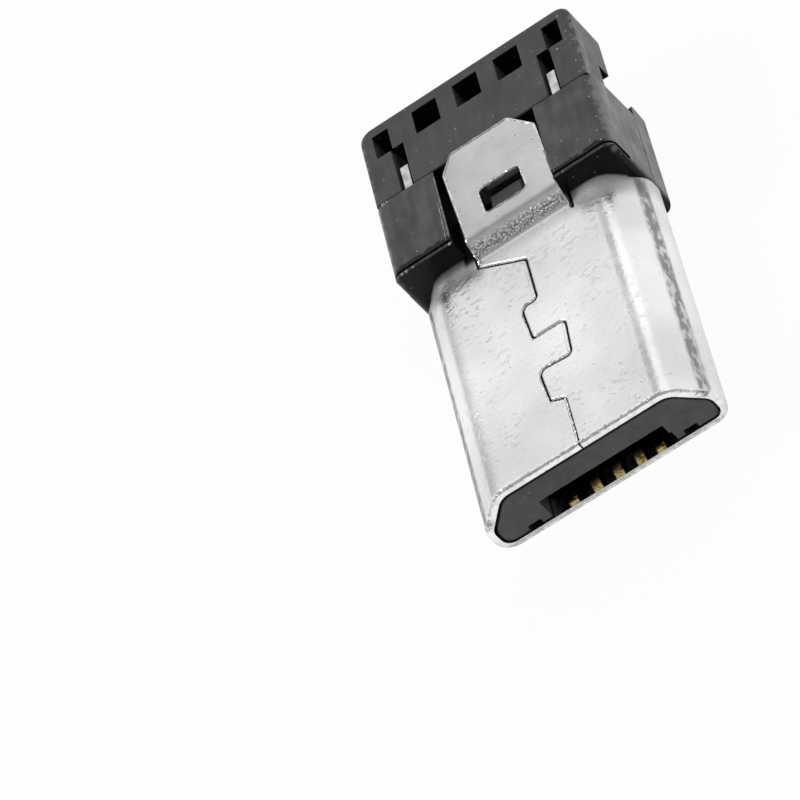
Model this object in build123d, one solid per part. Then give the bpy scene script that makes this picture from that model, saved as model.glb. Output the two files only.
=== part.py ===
from build123d import *
import math
import os

# Micro plug with a folded sheet shell, two spring latches and solder tails.
# Width is along X, the plug's length along Y from mouth to tails, height along Z.
# The drawing starts at the mouth, with Z zero just inside the shell's wide face.

# Shell, folded from one sheet, all sizes in millimetres
sheet = 0.20
shell_width = 6.85
shell_wide_z = -0.10
shell_top_z = 1.80
shell_top_step = 0.885
shell_side_z = 0.84
shell_top_radius = 0.75
shell_side_radius = 0.60
shell_wide_radius = 0.50
mouth_edge_radius = 0.09
shell_free_length = 8.03
shell_tuck_length = 1.37
shell_tuck_step = 0.375

# Folding seam, drawn from the mouth to the root of the tab
seam_gap = 0.05
seam_corner_radius = 0.15
seam_edge = 0.035
seam_edge_deg = 45
lobe_reach = 0.48
lobe_bend = 0.14
first_lobe_length = 1.22
second_lobe_length = 1.15
third_lobe_length = 1.19
seam_rear_length = 1.51
seam_branch_length = 0.69

# Raised tab at the rear of the seam, with its window
tab_width = 2.82
tab_shift = 0.16
tab_root_inset = 0.51
tab_root_length = 0.17
tab_rise_length = 0.40
tab_rise_height = 0.45
tab_overrun = 2.81
tab_end_height = 0.90
tab_bend_radius = 0.12
tab_left_chamfer_x = 0.39
tab_left_chamfer_y = 0.50
tab_right_chamfer = 0.65
tab_corner_radius = 0.12
tab_root_slit = 0.10
window_width = 1.24
window_length = 0.74
window_inset = 0.52
window_shift = -0.02
window_radius = 0.10

# Latch windows and pressed ribs in the shell's wide face
latch_window_width = 0.45
latch_window_front_y = 1.00
latch_window_length = 3.60
latch_window_shift = 0.065
rib_step = 0.92
rib_width = 0.58
rib_front_y = 0.90
rib_length = 2.35
rib_depth = 0.08
rib_draft_deg = 30

# Latch springs, blades standing on edge
blade_thickness = 0.24
blade_side_step = 1.115
hook_reach = 0.65
hook_front_y = 1.30
hook_peak_y = 2.05
hook_flat = 0.25
catch_run = 0.15
catch_rise = 0.12
blade_nose_y = 1.05
blade_nose_bottom_z = 0.30
blade_nose_top_z = 0.60
arm_mid_y = 4.60
arm_mid_bottom_z = 0.30
arm_mid_depth = 0.50
arm_knee_run = 1.27
arm_knee_bottom_z = 0.85
arm_knee_depth = 0.37
neck_run = 0.70
neck_bottom_z = 1.45
neck_top_z = 1.86
root_run = 0.92
root_length = 0.93
root_bottom_z = 1.60
root_top_z = 2.40
blade_corner_radius = 0.08

# Contacts, flat strips with a spring finger in front and a solder tail behind
contact_pitch = 0.65
contact_shift = -0.08
contact_thickness = 0.20
contact_width = 0.26
strip_z = 1.30
finger_low_y = 1.14
finger_low_z = 0.52
finger_tip_run = 0.50
finger_tip_z = 0.92
power_lead = 0.37
finger_rise_y = 5.10
finger_bend_radius = 0.15
fan_run = 2.37
fan_length = 1.40
tail_root_width = 0.70
tail_tip_width = 0.84
tail_overhang = 0.12
short_contact_run = 1.77

# Core, one moulding that fills the shell and forms the rear block
core_recess = 0.04
core_nose_length = 0.56
core_nose_drop = 0.03
mouth_slot_width = 3.66
mouth_slot_top_z = 0.82
mouth_slot_depth = 5.80
slot_step = 0.06
slot_step_z = 0.48
mouth_notch_width = 0.40
mouth_notch_z = 0.30
neck_gap = 0.05
neck_centre_height = 1.75
neck_shoulder_x = 1.66
block_side_step = 0.12
block_length = 2.83
block_height = 2.50
block_corner_radius = 0.40
block_edge_radius = 0.06
block_notch_z = 1.55
bulkhead_foot_run = 0.78
bulkhead_draft_run = 0.35
bulkhead_draft_z = 1.20
flange_z = -0.42
side_wall = 0.17
side_wall_bottom_z = 1.05
rib_block_run = 1.88
pocket_depth = 0.85
pocket_run = 1.62
pocket_length = 0.86
pocket_width = 0.77
pocket_spacing = 1.29
end_pocket_width = 0.50
end_pocket_edge = 0.37
boss_top_z = 2.20
boss_edge_chamfer = 0.06

# Collar, a sleeve round the rear of the shell and the core's neck
collar_side_wall = 0.33
collar_bottom_z = -0.52
collar_front_gap = 0.02
collar_length = 2.80
collar_skirt_length = 0.42
collar_skirt_z = 0.48
collar_skirt_radius = 0.16
collar_radius = 0.32
collar_side_draft = 0.04
collar_pocket_top_z = 2.00
collar_recess_left = 1.52
collar_nose_radius = 0.25
lip_width = 0.09
lip_groove_width = 0.09
lip_groove_depth = 0.06

# Clearances between pieces
shell_core_gap = 0.03
core_nose_gap = 0.08
collar_gap = 0.05
tab_side_gap = 0.03
block_gap = 0.02
blade_side_gap = 0.08
blade_travel_gap = 0.06
strip_gap = 0.02
finger_gap = 0.07
boss_gap = 0.13
latch_travel_deg = 3.2

# Places worked out from the sizes above
shell_length = shell_free_length + shell_tuck_length
inner_top_z = shell_top_z - sheet
hook_tip_z = shell_wide_z - hook_reach
collar_front_y = shell_free_length + collar_front_gap
collar_rear_y = collar_front_y + collar_length
skirt_rear_y = collar_rear_y + collar_skirt_length
block_front_y = collar_rear_y + block_gap
block_rear_y = block_front_y + block_length
tail_end_y = block_rear_y + tail_overhang
tab_root_y = shell_free_length - tab_root_inset
tab_end_y = shell_free_length + tab_overrun
seam_branch_y = tab_root_y - seam_branch_length
third_lobe_end_y = seam_branch_y - seam_rear_length
second_lobe_end_y = third_lobe_end_y - third_lobe_length
first_lobe_end_y = second_lobe_end_y - second_lobe_length
first_lobe_y = first_lobe_end_y - first_lobe_length
window_front_y = shell_free_length + window_inset
window_x = tab_shift + window_shift
blade_x = shell_width / 2 - blade_side_step
rib_centre_x = blade_x - rib_step
arm_knee_y = shell_free_length + arm_knee_run
neck_front_y = arm_knee_y + neck_run
root_front_y = neck_front_y + root_run
fan_start_y = shell_free_length + fan_run
fan_end_y = fan_start_y + fan_length
short_contact_end_y = shell_free_length + short_contact_run
bulkhead_foot_y = block_front_y + bulkhead_foot_run
bulkhead_top_y = bulkhead_foot_y + bulkhead_draft_run
rib_block_front_y = block_front_y + rib_block_run
pocket_front_y = block_front_y + pocket_run
neck_half = shell_width / 2 - shell_tuck_step
collar_half = neck_half + collar_gap + collar_side_wall
block_half = collar_half - block_side_step
tail_pitch = (block_half - side_wall - strip_gap - tail_tip_width / 2) / 1.5
neck_front_plane = shell_length + neck_gap
neck_shoulder_height = collar_pocket_top_z - collar_gap
tab_left = tab_shift - tab_width / 2
tab_right = tab_shift + tab_width / 2
window_rear_y = window_front_y + window_length
platform_z = strip_z + contact_thickness / 2 + strip_gap
tail_face_z = strip_z - contact_thickness / 2
root_rear_y = root_front_y + root_length
pivot_y = (root_front_y + root_rear_y) / 2
pivot_z = (root_bottom_z + root_top_z) / 2
travel_slope = math.tan(math.radians(latch_travel_deg))
beyond = 20.0


def outline(points):
    """A flat face with straight sides."""
    return make_face(Polyline(*points, close=True))


def along_x(face, start, end):
    """A prism along X from a face drawn as (y, z)."""
    return extrude(Plane.YZ.offset(start) * face, amount=end - start)


def along_y(face, start, end):
    """A prism along Y from a face drawn as (x, z)."""
    return extrude(Plane.XZ.offset(-start) * face, amount=start - end)


def along_z(face, start, end):
    """A prism along Z from a face drawn as (x, y)."""
    return extrude(Plane.XY.offset(start) * face, amount=end - start)


def block(x0, x1, y0, y1, z0, z1):
    """A box given by its limits."""
    centre = Pos((x0 + x1) / 2, (y0 + y1) / 2, (z0 + z1) / 2)
    return centre * Box(x1 - x0, y1 - y0, z1 - z0)


def both_sides(shape):
    """A shape and its mirror image across the middle of the width."""
    return shape + mirror(shape, about=Plane.YZ)


def nearest(vertices, places, reach=0.01):
    """The vertices that lie at the given places of a flat drawing."""
    return [v for v in vertices for p in places if math.hypot(v.X - p[0], v.Y - p[1]) < reach]


def shell_section():
    """Outside of the shell: flat wide face, upright sides and sloped shoulders."""
    half = shell_width / 2
    top = half - shell_top_step
    wide = [(-half, shell_wide_z), (half, shell_wide_z)]
    side = [(half, shell_side_z), (-half, shell_side_z)]
    upper = [(top, shell_top_z), (-top, shell_top_z)]
    face = outline([wide[0], wide[1], side[0], upper[0], upper[1], side[1]]).face()
    face = face.fillet_2d(shell_wide_radius, nearest(face.vertices(), wide))
    face = face.fillet_2d(shell_side_radius, nearest(face.vertices(), side))
    return face.fillet_2d(shell_top_radius, nearest(face.vertices(), upper))


def bent_strip(points, thickness, radius):
    """Side view of a strip of even thickness whose upper side follows the points."""
    turns = [math.atan2(b[1] - a[1], b[0] - a[0]) for a, b in zip(points, points[1:])]
    before = [turns[0]] + turns
    after = turns + [turns[-1]]
    lower = []
    for point, first, second in zip(points, before, after):
        middle = (first + second) / 2
        reach = thickness / math.cos((second - first) / 2)
        lower.append((point[0] + reach * math.sin(middle), point[1] - reach * math.cos(middle)))
    face = outline(points + lower[::-1]).face()
    for i in range(1, len(points) - 1):
        inner, outer = (points[i], lower[i]) if after[i] > before[i] else (lower[i], points[i])
        face = face.fillet_2d(radius, nearest(face.vertices(), [inner]))
        face = face.fillet_2d(radius + thickness, nearest(face.vertices(), [outer]))
    return face


def grown(face, amount):
    """The same section, moved outward or, with a minus sign, inward."""
    return offset(face, amount=amount)


def seam_cut():
    """The winding slit where the sheet's two edges lock into each other."""
    right = lobe_reach
    left = -lobe_reach
    bend = lobe_bend
    path = [
        (0, -sheet),
        (0, first_lobe_y - bend / 2),
        (left + bend / 2, first_lobe_y + bend / 2),
        (left, first_lobe_end_y - bend),
        (left + bend, first_lobe_end_y),
        (right, first_lobe_end_y - bend / 2),
        (right + bend / 2, second_lobe_end_y),
        (left + bend / 2, second_lobe_end_y),
        (left, third_lobe_end_y - bend),
        (left + bend, third_lobe_end_y),
        (0, third_lobe_end_y),
        (0, seam_branch_y),
        (tab_left - tab_root_slit, tab_root_y),
    ]
    line = FilletPolyline(*path, radius=seam_corner_radius)
    slit = make_face(offset(line, amount=seam_gap / 2, side=Side.BOTH))
    mouth = make_face(offset(line, amount=seam_gap / 2 + seam_edge, side=Side.BOTH))
    bevel = extrude(Plane.XY.offset(shell_top_z) * mouth, amount=-seam_edge, taper=seam_edge_deg)
    return along_z(slit, inner_top_z - sheet, shell_top_z + sheet) + bevel


def tab():
    """The sheet's rear tab, which steps up over the core and rises to the rear."""
    step_y = tab_root_y + tab_root_length
    rise_end = step_y + tab_rise_length
    low = shell_top_z
    side = bent_strip([
        (tab_root_y, low),
        (step_y, low),
        (rise_end, low + tab_rise_height),
        (tab_end_y, low + tab_end_height),
    ], sheet, tab_bend_radius)
    corner_left = (tab_left + tab_left_chamfer_x, tab_end_y)
    corner_right = (tab_right - tab_right_chamfer, tab_end_y)
    edge_left = (tab_left, tab_end_y - tab_left_chamfer_y)
    edge_right = (tab_right, tab_end_y - tab_right_chamfer)
    plan = outline([
        (tab_left, tab_root_y), (tab_right, tab_root_y), edge_right, corner_right, corner_left, edge_left,
    ]).face()
    rounded = nearest(plan.vertices(), [corner_left, corner_right, edge_left, edge_right])
    plan = plan.fillet_2d(tab_corner_radius, rounded)
    window = Pos(window_x, (window_front_y + window_rear_y) / 2)
    window = window * RectangleRounded(window_width, window_length, window_radius)
    sheet_tab = along_x(side, tab_left, tab_right) & along_z(plan, 0, beyond)
    return sheet_tab - along_z(window, 0, beyond)


def pressed_rib(grow):
    """One long dent pressed inward in the wide face, drafted on all sides."""
    middle = Pos(rib_centre_x, rib_front_y + rib_length / 2)
    slot = middle * SlotOverall(rib_length + grow, rib_width + grow, rotation=90)
    return extrude(slot, amount=rib_depth, taper=rib_draft_deg)


def shell():
    """The folded tube, its tucked rear part, its seam, tab, latch windows and ribs."""
    section = shell_section()
    tube = along_y(section, 0, shell_length)
    mouth = tube.edges().group_by(Axis.Y)[0]
    tube = fillet(mouth, mouth_edge_radius)
    tube = tube - along_y(grown(section, -sheet), -sheet, shell_length + sheet)
    tucked = block(neck_half, beyond, shell_free_length, beyond, -beyond, beyond)
    tube = tube - both_sides(tucked)
    bay_left = tab_left - tab_root_slit
    bay_right = tab_right + tab_root_slit
    bay = block(bay_left, bay_right, tab_root_y, beyond, inner_top_z - sheet / 2, beyond)
    tube = tube - bay - seam_cut()
    latch_window = Pos(blade_x + latch_window_shift, latch_window_front_y + latch_window_length / 2)
    latch_window = latch_window * SlotOverall(latch_window_length, latch_window_width, rotation=90)
    tube = tube - both_sides(along_z(latch_window, shell_wide_z - sheet, shell_wide_z + 2 * sheet))
    tube = tube - both_sides(Pos(0, 0, shell_wide_z) * pressed_rib(0))
    tube = tube + both_sides(Pos(0, 0, shell_wide_z + sheet) * pressed_rib(-rib_depth))
    return tube + tab()


def blade_outline():
    """Side view of a latch blade: hook in front, long arm, knee, neck and root."""
    hook_rear_y = hook_peak_y + hook_flat
    under = [
        (blade_nose_y, blade_nose_bottom_z),
        (hook_front_y, shell_wide_z),
        (hook_peak_y, hook_tip_z),
        (hook_rear_y, hook_tip_z),
        (hook_rear_y + catch_run, shell_wide_z + catch_rise),
        (arm_mid_y, arm_mid_bottom_z),
        (arm_knee_y, arm_knee_bottom_z),
        (neck_front_y, neck_bottom_z),
        (root_front_y, root_bottom_z),
        (root_rear_y, root_bottom_z),
    ]
    over = [
        (root_rear_y, root_top_z),
        (root_front_y, root_top_z),
        (root_front_y, neck_top_z),
        (neck_front_y, neck_top_z),
        (arm_knee_y, arm_knee_bottom_z + arm_knee_depth),
        (arm_mid_y, arm_mid_bottom_z + arm_mid_depth),
        (blade_nose_y, blade_nose_top_z),
    ]
    face = outline(under + over).face()
    return face.fillet_2d(blade_corner_radius, face.vertices())


def latch_spring(side):
    """One latch blade on its side of the plug."""
    middle = side * blade_x
    half = blade_thickness / 2
    return along_x(blade_outline(), middle - half, middle + half)


def blade_channel():
    """Room for a blade in the core, open to the wide face and at its root."""
    half = blade_thickness / 2 + blade_side_gap
    rise = travel_slope * pivot_y
    roof_front = blade_nose_top_z + rise + blade_travel_gap
    roof_rear = arm_knee_bottom_z + arm_knee_depth + travel_slope * (pivot_y - arm_knee_y)
    floor = -blade_travel_gap
    channel = outline([
        (blade_nose_y - sheet, -beyond),
        (shell_length, -beyond),
        (shell_length, arm_knee_bottom_z + floor),
        (neck_front_y, neck_bottom_z + floor),
        (root_front_y, root_bottom_z + floor),
        (pocket_front_y + tab_side_gap, root_bottom_z + floor),
        (pocket_front_y + tab_side_gap, beyond),
        (shell_length, beyond),
        (shell_length, roof_rear + blade_travel_gap),
        (arm_mid_y, roof_front),
        (blade_nose_y - sheet, roof_front),
    ])
    return along_x(channel, blade_x - half, blade_x + half)


def contact_shape(front_x, tail_x, low_y, gap):
    """A contact, or with a gap the room that it takes up in the core."""
    above = contact_thickness / 2 + gap
    side = bent_strip([
        (low_y - finger_tip_run, finger_tip_z + above),
        (low_y, finger_low_z + above),
        (finger_rise_y, strip_z + above),
        (tail_end_y, strip_z + above),
    ], 2 * above, finger_bend_radius)
    half = contact_width / 2 + gap
    if tail_x is None:
        plan = outline([
            (front_x - half, 0), (front_x + half, 0),
            (front_x + half, short_contact_end_y + gap), (front_x - half, short_contact_end_y + gap),
        ])
    else:
        root = tail_root_width / 2 + gap
        tip = tail_tip_width / 2 + gap
        plan = outline([
            (front_x - half, 0), (front_x + half, 0), (front_x + half, fan_start_y),
            (tail_x + root, fan_end_y), (tail_x + tip, tail_end_y),
            (tail_x - tip, tail_end_y), (tail_x - root, fan_end_y), (front_x - half, fan_start_y),
        ])
    return along_x(side, -beyond, beyond) & along_z(plan, -beyond, beyond)


def contact_places():
    """For each contact, its place across the mouth, its tail's place and its finger's."""
    outer = 1.5 * tail_pitch
    inner = 0.5 * tail_pitch
    tails = [-outer, -inner, inner, None, outer]
    middles = [(i - 2) * contact_pitch + contact_shift for i in range(5)]
    leads = [power_lead, 0, 0, 0, power_lead]
    return [(x, tail, finger_low_y - lead) for x, tail, lead in zip(middles, tails, leads)]


def finger_groove(front_x, low_y):
    """The slot over a contact's spring finger, in which it bends up."""
    half = contact_width / 2 + finger_gap
    top = strip_z + contact_thickness / 2 + strip_gap
    front = low_y - finger_tip_run - finger_gap
    return block(front_x - half, front_x + half, front, finger_rise_y, 0, top)


def rear_block():
    """The moulded block behind the collar, with side walls, pockets and tail ribs."""
    half = block_half
    plan = Pos(0, (block_front_y + block_rear_y) / 2) * Rectangle(2 * half, block_length)
    plan = plan.face()
    rear_corners = [(-half, block_rear_y), (half, block_rear_y)]
    plan = plan.fillet_2d(block_corner_radius, nearest(plan.vertices(), rear_corners))
    solid = along_z(plan, side_wall_bottom_z, block_height)
    solid = fillet(solid.edges().group_by(Axis.Z)[-1], block_edge_radius)
    notch = block(-beyond, beyond, 0, bulkhead_top_y, -beyond, block_notch_z)
    under = block(side_wall - half, half - side_wall, 0, beyond, -beyond, platform_z)
    solid = solid - notch - under
    rib_half = (tail_pitch - tail_tip_width) / 2 - strip_gap
    for i in (-1, 0, 1):
        left = i * tail_pitch - rib_half
        right = i * tail_pitch + rib_half
        solid = solid + block(left, right, rib_block_front_y, block_rear_y, tail_face_z, block_notch_z)
    floor = block_height - pocket_depth
    for i in (-1, 0, 1):
        middle = i * pocket_spacing
        reach = pocket_width / 2
        solid = solid - block(middle - reach, middle + reach, pocket_front_y,
                              pocket_front_y + pocket_length, floor, beyond)
    end_right = half - end_pocket_edge
    end_pocket = block(end_right - end_pocket_width, end_right, pocket_front_y,
                       pocket_front_y + pocket_length, floor, beyond)
    return solid - both_sides(end_pocket)


def core():
    """The moulding: insert in the shell, neck in the collar, boss and rear block."""
    inside = grown(shell_section(), -(sheet + shell_core_gap))
    nose_rear = core_recess + core_nose_length
    insert = along_y(inside, nose_rear, neck_front_plane)
    nose = Pos(0, -core_nose_drop) * grown(shell_section(), -(sheet + core_nose_gap))
    insert = insert + along_y(nose, core_recess, nose_rear)
    insert = insert - both_sides(block(neck_half, beyond, shell_free_length, beyond, -beyond, beyond))
    slot_half = mouth_slot_width / 2
    insert = insert - block(-slot_half, slot_half, -beyond, mouth_slot_depth, -beyond, mouth_slot_top_z)
    insert = insert - block(0, slot_half + slot_step, -beyond, mouth_slot_depth, -beyond, slot_step_z)
    notch_left = blade_x - mouth_notch_width / 2
    notch = block(notch_left, notch_left + mouth_notch_width, 0, blade_nose_y, -beyond, mouth_notch_z)
    insert = insert - both_sides(notch)
    neck = block(-neck_half, neck_half, neck_front_plane, block_front_y, shell_wide_z, neck_centre_height)
    shoulder = block(neck_shoulder_x, neck_half, neck_front_plane, block_front_y,
                     shell_wide_z, neck_shoulder_height)
    flange_front = skirt_rear_y + collar_gap
    bulkhead = outline([
        (block_front_y, shell_wide_z), (flange_front, shell_wide_z),
        (flange_front, flange_z), (bulkhead_foot_y, flange_z),
        (bulkhead_top_y, bulkhead_draft_z), (bulkhead_top_y, block_height - pocket_depth),
        (block_front_y, block_height - pocket_depth),
    ])
    boss_left = window_x - window_width / 2 + boss_gap
    boss_right = window_x + window_width / 2 - boss_gap
    boss = block(boss_left, boss_right, window_front_y, window_rear_y - boss_gap,
                 strip_z + contact_thickness, boss_top_z)
    boss = chamfer(boss.edges().group_by(Axis.Z)[-1], boss_edge_chamfer)
    solid = insert + neck + both_sides(shoulder) + along_x(bulkhead, -neck_half, neck_half)
    solid = solid + boss + rear_block()
    solid = solid - both_sides(blade_channel())
    for front_x, tail_x, low_y in contact_places():
        solid = solid - contact_shape(front_x, tail_x, low_y, strip_gap) - finger_groove(front_x, low_y)
    return solid


def collar():
    """The sleeve: rounded outside, pocket for shell and neck, open top over the tab."""
    drafted = collar_half - collar_side_draft
    corners = [(-drafted, collar_bottom_z), (drafted, collar_bottom_z),
               (drafted, block_height), (-drafted, block_height)]
    section = outline([corners[0], corners[1], (collar_half, collar_skirt_z),
                       corners[2], corners[3], (-collar_half, collar_skirt_z)]).face()
    section = section.fillet_2d(collar_radius, nearest(section.vertices(), corners))
    plan = outline([
        (-collar_half, collar_front_y), (collar_half, collar_front_y),
        (collar_half, skirt_rear_y), (-collar_half, skirt_rear_y),
    ]).face()
    front_corners = [(-collar_half, collar_front_y), (collar_half, collar_front_y)]
    plan = plan.fillet_2d(collar_nose_radius, nearest(plan.vertices(), front_corners))
    side = outline([
        (collar_front_y, collar_bottom_z), (skirt_rear_y, collar_bottom_z), (skirt_rear_y, collar_skirt_z),
        (collar_rear_y, collar_skirt_z), (collar_rear_y, block_height), (collar_front_y, block_height),
    ]).face()
    side = side.fillet_2d(collar_skirt_radius, nearest(side.vertices(), [(skirt_rear_y, collar_skirt_z)]))
    sleeve = along_y(section, collar_front_y, skirt_rear_y) & along_z(plan, -beyond, beyond)
    sleeve = sleeve & along_x(side, -beyond, beyond)
    groove_y = collar_front_y + lip_width
    groove_end_y = groove_y + lip_groove_width
    ring = block(-beyond, beyond, groove_y, groove_end_y, inner_top_z, beyond)
    ring = ring - along_y(grown(section, -lip_groove_depth), 0, skirt_rear_y)
    sleeve = sleeve - ring
    half = neck_half + collar_gap
    tube_room = along_y(grown(shell_section(), collar_gap), 0, neck_front_plane)
    tube_room = tube_room & block(-half, half, 0, beyond, -beyond, beyond)
    neck_room = block(-half, half, shell_length, beyond, shell_wide_z - collar_gap, collar_pocket_top_z)
    recess = block(-collar_recess_left, tab_right + tab_side_gap, 0, beyond, inner_top_z, beyond)
    return sleeve - tube_room - neck_room - recess


def save(name, shape):
    """Write one piece, set on the ground with its length centred."""
    home = Pos(0, -tail_end_y / 2, -hook_tip_z)
    export_step(home * shape, os.path.join("parts", name + ".step"))


os.makedirs("parts", exist_ok=True)
save("shell", shell())
save("core", core())
save("collar", collar())
save("latch_spring_left", latch_spring(-1))
save("latch_spring_right", latch_spring(1))
for number, (front_x, tail_x, low_y) in enumerate(contact_places(), start=1):
    save("contact_%d" % number, contact_shape(front_x, tail_x, low_y, 0))
print("pivot of the latch springs, y and z in the saved frame")
print(round(pivot_y - tail_end_y / 2, 4), round(pivot_z - hook_tip_z, 4))
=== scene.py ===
import math
import random
import bmesh
import bpy
from mathutils import Matrix, Vector
from mathutils.bvhtree import BVHTree


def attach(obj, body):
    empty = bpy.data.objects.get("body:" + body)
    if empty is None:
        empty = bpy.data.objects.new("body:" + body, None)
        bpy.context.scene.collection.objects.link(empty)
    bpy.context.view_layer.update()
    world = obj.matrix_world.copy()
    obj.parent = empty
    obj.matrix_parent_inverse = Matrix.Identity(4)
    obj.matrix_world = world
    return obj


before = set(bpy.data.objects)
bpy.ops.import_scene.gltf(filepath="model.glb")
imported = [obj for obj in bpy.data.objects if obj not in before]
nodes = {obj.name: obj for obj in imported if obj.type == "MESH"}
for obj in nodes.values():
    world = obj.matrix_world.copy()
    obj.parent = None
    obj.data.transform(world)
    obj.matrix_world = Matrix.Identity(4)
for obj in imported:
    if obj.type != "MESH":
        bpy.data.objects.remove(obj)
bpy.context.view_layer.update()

mm = 0.001
print("frame loaded:", len(nodes), "pieces")

# Camera: where the plug is seen from, worked out for a square picture
cameraSet = {
    "aim": (-4.7151, -1.0606, 1.65),    # mm, a point beside the plug
    "azimuth": 21.796,                  # degrees round from the mouth
    "elevation": 39.350,
    "roll": -46.444,                    # the picture is turned about the line of sight
    "distance": 135.161,                # mm
    "lens": 240.01,                     # mm, on a picture as wide as the sensor
    "sensor": 36.0,
    "clip": (0.01, 10.0),               # metres
}


def addCamera(values):
    azimuth = math.radians(values["azimuth"])
    elevation = math.radians(values["elevation"])
    back = Vector((
        math.sin(azimuth) * math.cos(elevation),
        -math.cos(azimuth) * math.cos(elevation),
        math.sin(elevation),
    ))
    data = bpy.data.cameras.new("camera")
    data.sensor_width = values["sensor"]
    data.lens = values["lens"]
    data.clip_start, data.clip_end = values["clip"]
    camera = bpy.data.objects.new("camera", data)
    bpy.context.collection.objects.link(camera)
    place = Vector(values["aim"]) * mm + back * values["distance"] * mm
    turn = (-back).to_track_quat("-Z", "Y").to_matrix().to_4x4()
    roll = Matrix.Rotation(math.radians(values["roll"]), 4, "Z")
    camera.matrix_world = Matrix.Translation(place) @ turn @ roll
    bpy.context.scene.camera = camera


addCamera(cameraSet)
print("camera placed")

# Studio: white table, a sky that is brightest low behind the plug and dim on the camera's side
studioSet = {
    "floorSize": 0.6,                   # metres
    "floorColour": (0.93, 0.93, 0.93, 1),
    "floorGlow": 0.95,                  # share of the table's white that no shadow dims
    "skyBright": (0.28, 0.94, 0.19),    # the way to the brightest part of the sky
    "skyStops": [(0.0, 0.22), (0.22, 0.36), (0.60, 0.42), (0.76, 0.60), (0.86, 1.04), (0.96, 0.98)],
    "skyStrength": 1.0,
    "gapWay": (-0.03, 0.718, 0.695),    # a dim gap between two bright panels
    "gapSpread": (0.985, 0.998),        # cosines of its outer and inner edge
    "gapShare": 0.45,                   # what is left of the light there
    "stripWay": (0.32, 0.718, 0.616),   # a brighter strip beside it
    "stripSpread": (0.968, 0.992),
    "stripShare": 1.32,
    "lampPlace": (-0.20, 0.05, 0.22),   # metres
    "lampSize": 0.12,
    "lampPower": 0.30,                  # watts
}


def addNode(tree, kind, **values):
    node = tree.nodes.new(kind)
    for key, value in values.items():
        if hasattr(node, key):
            setattr(node, key, value)
        else:
            node.inputs[key].default_value = value
    return node


def combine(tree, operation, first, second):
    node = addNode(tree, "ShaderNodeMath", operation=operation)
    for socket, value in zip(node.inputs, (first, second)):
        if isinstance(value, (int, float)):
            socket.default_value = value
        else:
            tree.links.new(value, socket)
    return node.outputs[0]


def chained(tree, operation, values):
    result = values[0]
    for value in values[1:]:
        result = combine(tree, operation, result, value)
    return result


def times(tree, *values):
    return chained(tree, "MULTIPLY", values)


def largest(tree, *values):
    return chained(tree, "MAXIMUM", values)


def added(tree, *values):
    return chained(tree, "ADD", values)


def sizeOf(tree, value):
    return combine(tree, "ABSOLUTE", value, 0)


def between(tree, value, low, high, first=0.0, last=1.0):
    node = addNode(tree, "ShaderNodeMapRange", interpolation_type="SMOOTHSTEP")
    for key, number in (("From Min", low), ("From Max", high), ("To Min", first), ("To Max", last)):
        node.inputs[key].default_value = number
    tree.links.new(value, node.inputs["Value"])
    return node.outputs["Result"]


def rise(tree, value, span, least=0.0):
    return between(tree, value, *span, least, 1.0)


def fall(tree, value, span, least=0.0):
    return between(tree, value, *span, 1.0, least)


def band(tree, value, start, end):
    return times(tree, rise(tree, value, start), fall(tree, value, end))


def tinted(tree, share, tone):
    return between(tree, share, 0.0, 1.0, 1.0, tone)


def addFloor(values):
    half = values["floorSize"] / 2
    mesh = bpy.data.meshes.new("floor")
    corners = [(-half, -half, 0), (half, -half, 0), (half, half, 0), (-half, half, 0)]
    mesh.from_pydata(corners, [], [(0, 1, 2, 3)])
    floor = bpy.data.objects.new("floor", mesh)
    bpy.context.collection.objects.link(floor)
    material = bpy.data.materials.new("floorPaper")
    material.use_nodes = True
    tree = material.node_tree
    tree.nodes.clear()
    out = addNode(tree, "ShaderNodeOutputMaterial")
    paper = addNode(tree, "ShaderNodeBsdfDiffuse", Color=values["floorColour"])
    glow = addNode(tree, "ShaderNodeEmission", Color=(1, 1, 1, 1))
    ray = addNode(tree, "ShaderNodeLightPath")
    rays = [ray.outputs[kind] for kind in ("Is Camera Ray", "Is Glossy Ray", "Is Transmission Ray")]
    seen = times(tree, largest(tree, *rays), values["floorGlow"])
    white = addNode(tree, "ShaderNodeMixShader")
    clear = addNode(tree, "ShaderNodeBsdfTransparent")
    side = addNode(tree, "ShaderNodeNewGeometry")
    mix = addNode(tree, "ShaderNodeMixShader")
    tree.links.new(seen, white.inputs[0])
    tree.links.new(paper.outputs[0], white.inputs[1])
    tree.links.new(glow.outputs[0], white.inputs[2])
    tree.links.new(side.outputs["Backfacing"], mix.inputs[0])
    tree.links.new(white.outputs[0], mix.inputs[1])
    tree.links.new(clear.outputs[0], mix.inputs[2])
    tree.links.new(mix.outputs[0], out.inputs["Surface"])
    mesh.materials.append(material)


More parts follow.
